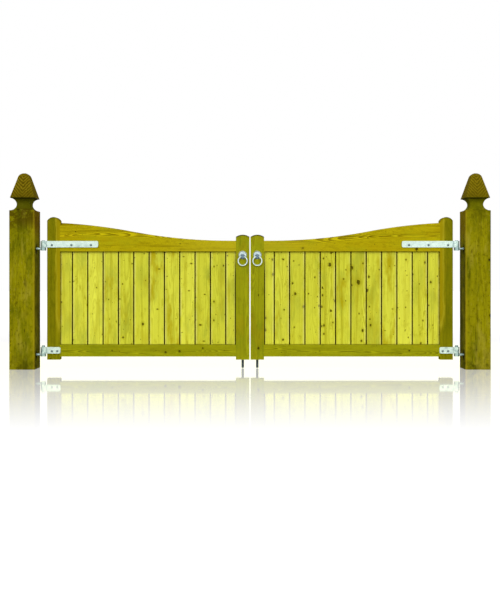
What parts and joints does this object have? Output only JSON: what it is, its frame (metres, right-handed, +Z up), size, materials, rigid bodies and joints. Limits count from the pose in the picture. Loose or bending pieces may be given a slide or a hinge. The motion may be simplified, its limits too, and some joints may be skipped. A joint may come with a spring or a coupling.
{
  "type": "barrow gate",
  "caption": "Swept-top boarded double gate hung on hook and band hinges between square timber posts with coved necks and domed caps.",
  "frame": {"origin": "on the ground, midway between the two posts and at the middle of their depth", "axes": "+X to the right seen from the front, +Y away from the viewer, +Z up"},
  "size_m": [3.364, 0.178, 1.38],
  "materials": {
    "post_wood": "pressure treated, matt",
    "stile_wood": "pressure treated, matt",
    "rail_wood": "pressure treated, matt",
    "board_wood": "pressure treated, matt",
    "zinc": "hot-dip galvanised",
    "bolt_steel": "dull plated"
  },
  "bodies": {
    "posts": {"left_post": "post_wood", "left_top_hook": "zinc", "left_bottom_hook": "zinc", "right_post": "post_wood", "right_top_hook": "zinc", "right_bottom_hook": "zinc"},
    "left_leaf": {"left_hinge_stile": "stile_wood", "left_meeting_stile": "stile_wood", "left_top_rail": "rail_wood", "left_bottom_rail": "rail_wood", "left_brace": "rail_wood", "left_top_band": "zinc", "left_bottom_band": "zinc", "left_band_bolts": "zinc", "left_ring_rose": "zinc", "left_ring_spindle": "zinc", "left_spindle_nut": "zinc", "left_bolt_bracket": "zinc", "left_screws": "zinc", "left_board_01": "board_wood", "left_board_02": "board_wood", "left_board_03": "board_wood", "left_board_04": "board_wood", "left_board_05": "board_wood", "left_board_06": "board_wood", "left_board_07": "board_wood", "left_board_08": "board_wood", "left_board_09": "board_wood", "left_board_10": "board_wood", "left_board_11": "board_wood", "left_board_12": "board_wood"},
    "left_pull_ring": {"left_ring": "zinc"},
    "left_bolt_rod": {"left_drop_bolt": "bolt_steel"},
    "right_leaf": {"right_hinge_stile": "stile_wood", "right_meeting_stile": "stile_wood", "right_top_rail": "rail_wood", "right_bottom_rail": "rail_wood", "right_brace": "rail_wood", "right_top_band": "zinc", "right_bottom_band": "zinc", "right_band_bolts": "zinc", "right_ring_rose": "zinc", "right_ring_spindle": "zinc", "right_spindle_nut": "zinc", "right_bolt_bracket": "zinc", "right_screws": "zinc", "right_board_01": "board_wood", "right_board_02": "board_wood", "right_board_03": "board_wood", "right_board_04": "board_wood", "right_board_05": "board_wood", "right_board_06": "board_wood", "right_board_07": "board_wood", "right_board_08": "board_wood", "right_board_09": "board_wood", "right_board_10": "board_wood", "right_board_11": "board_wood", "right_board_12": "board_wood"},
    "right_pull_ring": {"right_ring": "zinc"},
    "right_bolt_rod": {"right_drop_bolt": "bolt_steel"}
  },
  "joints": [
    {"name": "left_leaf_hinge", "type": "hinge", "parent": "posts", "child": "left_leaf", "pos_m": [-1.4535, -0.0377, 0.5], "axis": [0, 0, -1], "range_deg": [-75, 100]},
    {"name": "left_ring_swing", "type": "hinge", "parent": "left_leaf", "child": "left_pull_ring", "pos_m": [-0.0515, -0.06076, 0.7906], "axis": [-1, 0, 0], "range_deg": [0, 170]},
    {"name": "left_bolt_lift", "type": "slide", "parent": "left_leaf", "child": "left_bolt_rod", "axis": [0, 0, 1], "range_m": [0, 0.1]},
    {"name": "right_leaf_hinge", "type": "hinge", "parent": "posts", "child": "right_leaf", "pos_m": [1.4535, -0.0377, 0.5], "axis": [0, 0, 1], "range_deg": [-75, 100]},
    {"name": "right_ring_swing", "type": "hinge", "parent": "right_leaf", "child": "right_pull_ring", "pos_m": [0.0515, -0.06076, 0.7906], "axis": [-1, 0, 0], "range_deg": [0, 170]},
    {"name": "right_bolt_lift", "type": "slide", "parent": "right_leaf", "child": "right_bolt_rod", "axis": [0, 0, 1], "range_m": [0, 0.1]}
  ]
}
